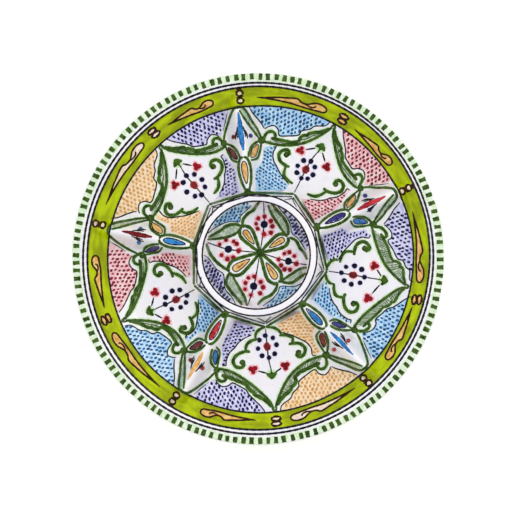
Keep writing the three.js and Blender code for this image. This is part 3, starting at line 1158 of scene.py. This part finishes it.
def paint_lozenge(i):
    put = partial(on_divider, i)
    left_lift, right_lift = CORNER_LIFTS[i]
    left = [(2, 156.5), (-4, 155), (-8.5, 149), (-12.5, 141), (-16.5, 132 + left_lift / 2),
            (-19.5, 122 + left_lift)]
    leaf_out = [(0, 156.5), (5.5, 154), (9.2, 147.5), (12.3, 140), (16.6, 131.5 + right_lift / 2),
                (20, 121 + right_lift)]
    leaf_in = [(0.8, 153), (4.8, 144), (9.4, 135.5), (14.2, 127.5 + right_lift / 2),
               (18.5, 120 + right_lift)]
    green_stroke(put(left), 2.8)
    leaf_shading.fill(smooth_line(put(leaf_out + leaf_in[::-1]), 1.5, True), 1.5, 2)
    green_stroke(put(leaf_out), 2.9)
    green_stroke(put(leaf_in), 2.7)
    brushwork.stroke(put([(-5, 154), (0, 155.8), (5.5, 154)]), 3.4)
    dark_lines.stroke(put([(-11, 154), (-14.5, 144), (-18.5, 134)]), 1.1)
    dark_lines.stroke(put(UPPER_RIGHT), 1.5, 0.6)
    brushwork.dab(*put([(-19.3, 121 + left_lift)])[0], 3.6)
    brushwork.dab(*put([(19.6, 120 + right_lift)])[0], 4.2)


def paint_divider(i):
    """A lozenge with a brushed bud between two leaves, and a long petal down to the bowl wall."""
    style = DIVIDER_STYLES[i]
    put = partial(on_divider, i)
    paint_lozenge(i)
    paint, top, foot, width, x = style["bud"]
    heights = np.linspace(top, foot, 5)
    spine = put([(x + 0.3 * math.sin(k * 2), y) for k, y in enumerate(heights)])
    fills[paint].ribbon(np.column_stack([spine, width * np.array([0.25, 0.7, 1, 0.85, 0.3])]))
    middle = (top + foot) / 2
    for side in (-1, 1):
        for start, above, below in ((2.8, 5.5, -7), (4.6, 1, -8.5)):
            tick = [(x + side * start, middle + above), (x + side * (start + 1.4), middle + below)]
            dark_lines.stroke(put([tick[0], np.mean(tick, 0) + (side * 0.5, 0), tick[1]]), 1.7, 0.4)
    for paint, *spot in style["dots"]:
        flower_dab(fills[paint], navy_bleed, put([spot])[0], 2.4, 1)

    lifted = (0, style["flank_shift"])
    for (inner, outer, drop), paint, corner_lift in zip(FLANKS, style["flanks"], CORNER_LIFTS[i]):
        outlined_fill(paint, put(moved(drop, lifted)), 1.2, 1.0)
        for edge, width in ((inner, 2.9), (outer, 2.7)):
            edge = moved(edge, lifted)
            edge[0, 1] += corner_lift - style["flank_shift"]
            green_stroke(put(edge), width)

    paint, x, y = style["petal"]
    for side in (-1, 1):
        edge = [(0, 104.5), (3.6, 102.5), (5.8, 96), (6, 88), (4.4, 78), (1.6, 69.5)]
        green_stroke(put(moved([(side * u, v) for u, v in edge], (x, y))), 3.0, 0.8)
    brushwork.dab(*put([(x - 0.5, FRAME_FOOT + y / 2)])[0], 4.2, 1.1)
    drop = [(0, 100), (-2.4, 97), (-3, 91), (-2.2, 84), (0, 77), (2.2, 84), (3, 91), (2.4, 97)]
    outlined_fill(paint, put(moved(drop, (x, y))), 1.6, 1.1)


def frame_ends(i, towards):
    """Where a frame line starts, at a divider's foot, and where it ends, at the point below a star."""
    _, x, y = DIVIDER_STYLES[towards % 5]["petal"]
    foot = on_divider(towards, [(x, FRAME_FOOT + y / 2)])[0]
    return foot, ray(STAR_ANGLES[i], [STARS[i]["apex"]])[0]


# The paint of each star's grounds, on its right and on its left.
GROUND_PAINTS = [("pink", "blue"), ("violet", "peach"), ("pink", "blue"), ("violet", "peach"),
                 ("blue", "violet")]


def paint_grounds(i):
    """The dabbed grounds on each side of a star, above and below its leaves."""
    for side, towards, upper, lower in ((0, i, UPPER_LEFT, LOWER_LEFT),
                                        (1, i + 1, UPPER_RIGHT, LOWER_RIGHT)):
        name = GROUND_PAINTS[i][side]
        contour = smooth_line(on_leaf(i, side, LEAF_CONTOUR[side], 0.8), 1.5)
        edge = smooth_line(on_divider(towards, upper), 1.5)
        start, end = direction(edge[-1]), direction(contour[0])
        turn = start + np.linspace(0, 1, 24) * ((end - start + math.pi) % math.tau - math.pi)
        top = polar(band_inner(turn), turn)
        along = STAR_ANGLES[i] + hand.uniform(-0.12, 0.12)
        across = along - math.pi / 2
        dabbed_wash(name, np.concatenate([contour, edge, top[1:-1]]), *UPPER_DABS, across, along)
        contour = smooth_line(lower_contour(i, side), 1.5)
        edge = smooth_line(on_divider(towards, lower), 1.5)
        foot, point = frame_ends(i, towards)
        by_frame = foot * 0.22 + point * 0.78
        by_frame *= 1 + 3.8 / np.hypot(*by_frame)
        dabbed_wash(name, np.concatenate([contour, [by_frame], edge]), *LOWER_DABS, across, across)


def paint_frame(i):
    """The lines from the dividers' feet up to the point below a star, outside the bowl's ring."""
    apex = STARS[i]["apex"]
    for towards in (i, i + 1):
        foot, point = frame_ends(i, towards)
        line = np.array([foot, foot * 0.55 + point * 0.45 + hand.uniform(-0.4, 0.4), point])
        green_stroke(line, 2.9, 0.9, 0.8)
        dark_lines.stroke(line * (1 - 3.4 / np.hypot(*line.T))[:, None], 1.5, 0.8)
    tick = [(-7, apex[1] - 11), (-3, apex[1] - 7.5), (0, apex[1] - 5.5), (3, apex[1] - 8),
            (8, apex[1] - 11)]
    dark_lines.stroke(ray(STAR_ANGLES[i], tick), 1.2, 0.6)


for sector in range(5):
    paint_grounds(sector)
    paint_star(sector)
    paint_frame(sector)
    paint_divider(sector)


# ---------------------------------------------------------------- the centre bowl

BOWL_HUB = np.array([4.0, 2.5])
RING_LINE_GAP = 1.75  # from the crest's edge to the line painted beside it
# Each flower is its heart, its dots and where its stem ends.
BOWL_FLOWERS = [
    ((8, 31.5), [(2, 37.5), (0, 32), (1.5, 27), (8, 21.5), (15, 23), (16.5, 29.5), (15, 35), (8.5, 39.5)],
     (7.5, 54)),
    ((-28.5, 6), [(-31, 15.5), (-23, 14), (-20, 11.5), (-37.5, 11), (-35.5, 0), (-29.5, -4),
                  (-23.5, -2.5), (-18, 4.5)],
     (-50, 13)),
    ((-2.5, -32), [(-8, -23.5), (-2, -22), (4.5, -27.5), (7, -33), (4, -39), (-5.5, -41), (-11.5, -35),
                   (-11, -28.5)],
     (-9, -52)),
    ((33, -6.5), [(29, 1.5), (34, 3), (39, -1), (41, -9), (34.5, -15), (29, -14.5), (25.5, -10.5),
                  (23, -4.5)],
     (52, -10)),
]
BOWL_PETALS = [(-14.5, 28.5), (32, 18.5), (-27.5, -17.5), (22.5, -28)]
# Each leaf is its inner edge and its outer edge, both from the same end.
BOWL_LEAVES = [
    ([(12, 51.5), (15.5, 43), (21.5, 33), (30.5, 20)],
     [(15.5, 53), (21.5, 45.5), (28.5, 37.5), (32.5, 29), (33, 20)]),
    ([(-50, 16), (-35, 17.5), (-24, 20.5), (-16, 26)],
     [(-49, 18), (-37, 25), (-30, 30), (-21, 31.5), (-14, 29)]),
    ([(-9.5, -52), (-12, -43), (-17, -34), (-24, -22)],
     [(-14, -51), (-19, -45), (-26, -37), (-31, -28), (-27, -17)]),
    ([(52, -12.5), (44, -14.5), (36, -19.5), (26, -26)], [(51, -18), (43, -24), (35, -28.5), (24, -27)]),
]
BOWL_EDGES = [
    [(-14, 28), (-13.5, 36), (-8.5, 42.5), (-3, 46), (0, 50.5), (4, 55)],
    [(-51, 12), (-47.5, 2), (-41.5, -6), (-34.5, -12), (-28, -16)],
    [(22, -28), (20, -35), (15, -41), (7, -45), (1, -51)],
    [(34, 18.5), (41, 14.5), (45, 7), (49, 2.5), (52, -5)],
]
# Each ground is its paint, where it starts and ends round the rim in degrees, and its inner edge.
BOWL_GROUNDS = [
    ("blue", 97, 155, [(-50, 22), (-39, 30), (-27, 34.5), (-17.5, 34), (-16, 40), (-10.5, 45.5), (-5, 51)]),
    ("violet", 6, 67, [(21, 51), (26, 45), (31.5, 38.5), (35, 31), (36.5, 22.5), (42.5, 17.5), (47, 11),
                       (51, 4.5)]),
    ("violet", 180, 246, [(-21, -50), (-25, -43), (-32, -34), (-33.5, -20), (-41, -14), (-49, -3),
                          (-54, 0)]),
    ("blue", 277, 332, [(49, -27), (39, -32), (25, -32), (22.5, -38), (16, -45.5), (6.5, -52)]),
]


def paint_bowl_ground(name, start, end, edge, rim_radius):
    turn = np.radians(np.linspace(start, end, 20))
    rim = polar(rim_radius, turn)
    edge = smooth_line(edge, 1.5)
    if np.hypot(*(edge[0] - rim[-1])) > np.hypot(*(edge[-1] - rim[-1])):
        edge = edge[::-1]
    outline = in_bowl(np.concatenate([rim, edge]))
    slant = hand.uniform(-0.3, 0.3)
    dabbed_wash(name, outline, *BOWL_DABS[name], slant, slant + 0.8)
    dark_lines.stroke(in_bowl(edge), 1.1, 0.6)


def paint_bowl_petal(tip):
    """A petal from the hub to tip, with an amber drop inside it."""
    way = np.array(tip) - BOWL_HUB
    side = np.array([-way[1], way[0]]) * 0.195

    def place(along, across):
        return BOWL_HUB + way * along + side * across

    for turn in (-1, 1):
        edge = [place(u, turn * v) for u, v in ((0, 0), (0.35, 0.6), (0.75, 1.1), (0.97, 0.6), (1, 0))]
        green_stroke(in_bowl(edge), 3.8, 0.8, 1.1)
    drop = in_bowl([place(u, v) for u, v in ((0.34, 0), (0.6, 0.45), (0.82, 0.48), (0.88, 0), (0.82, -0.42),
                                             (0.6, -0.4))])
    outlined_fill("amber", drop, 1.4, 1.1)
    dark_lines.stroke(in_bowl([place(0.5, 0), place(0.66, 0.08), place(0.8, 0.02)]), 0.9, 0.3)


def paint_bowl():
    crest_half = CREST_WIDTH / 2 + RING_LINE_GAP
    for radius in (CREST_RADIUS - crest_half, CREST_RADIUS + crest_half):
        dark_lines.stroke(in_bowl(oval(0, 0, radius, radius, 70)), 1.5, closed=True)
    for ground in BOWL_GROUNDS:
        paint_bowl_ground(*ground, CREST_RADIUS - crest_half)
    for heart, spots, tip in BOWL_FLOWERS:
        stems.stroke(in_bowl([BOWL_HUB, heart, tip]), 1.5, 0.7)
        flower_dab(navy_dots, navy_bleed, in_bowl([heart])[0], 4.1, 1.4)
        for spot in spots:
            flower_dab(red_dots, red_bleed, in_bowl([spot])[0], hand.uniform(2.1, 2.8), 2.1)
    for inner, outer in BOWL_LEAVES:
        leaf = np.concatenate([smooth_line(outer, 1.5), smooth_line(inner, 1.5)[::-1]])
        leaf_shading.fill(in_bowl(leaf), 1.5, 2)
        green_stroke(in_bowl(inner), 3.2)
        green_stroke(in_bowl(outer), 3.6)
    for line in BOWL_EDGES:
        green_stroke(in_bowl(line), 3.5, bleed=1.2)
    for tip in BOWL_PETALS:
        paint_bowl_petal(tip)
    brushwork.dab(*in_bowl([BOWL_HUB])[0], 4.4)


paint_bowl()

for coat in (
    *grounds.values(), *dabs.values(), *fills.values(), cream_fill, brushwork, rim_dashes, rim_wash,
    green_bleed, leaf_shading, dark_lines, stems, navy_dots, red_dots, red_bleed, navy_bleed, band_ink,
):
    coat.build()


# ---------------------------------------------------------------- stage


def soft_light(name, place, size, power):
    """A square lamp at place, in metres, aimed at the plate."""
    lamp = bpy.data.lights.new(name, "AREA")
    lamp.size = size
    lamp.energy = power
    holder = placed(name, lamp)
    holder.location = place
    holder.rotation_euler = (-Vector(place)).to_track_quat("-Z", "Y").to_euler()


def build_stage():
    floor_mesh = bpy.data.meshes.new("floor")
    half = 4.0
    floor_mesh.from_pydata([(-half, -half, 0), (half, -half, 0), (half, half, 0), (-half, half, 0)], [],
                           [(0, 1, 2, 3)])
    paper = bpy.data.materials.new("pale_floor")
    paper.use_nodes = True
    set_inputs(paper.node_tree.nodes["Principled BSDF"], Base_Color=(0.95, 0.95, 0.95, 1), Roughness=0.9,
               Emission_Color=(1, 1, 1, 1), Emission_Strength=0.25)
    floor_mesh.materials.append(paper)
    floor = placed("floor", floor_mesh)

    world = bpy.data.worlds.new("studio")
    world.use_nodes = True
    set_inputs(world.node_tree.nodes["Background"], Color=(1, 1, 1, 1), Strength=0.8)
    bpy.context.scene.world = world
    soft_light("key", (1.1, 1.1, 1.5), 1.5, 11)
    soft_light("fill", (-1.4, -0.2, 1.6), 1.4, 5)


def build_camera():
    """Straight above the plate, far enough off for the rim to look round and level with the floor."""
    sensor = 36
    distance = 4.0
    room = 1.3647  # the picture's width, in plate widths
    aside = (-0.00325, 0.00383)  # the plate sits a little off the middle of the picture
    lens = bpy.data.cameras.new("camera")
    lens.sensor_width = sensor
    lens.lens = sensor * distance / (2 * PLATE_RADIUS * MM * room)
    camera = placed("camera", lens)
    camera.location = (*aside, LIP_TOP_Z * MM + distance)
    bpy.context.scene.camera = camera


build_stage()
build_camera()
bpy.context.scene.view_settings.view_transform = "Standard"
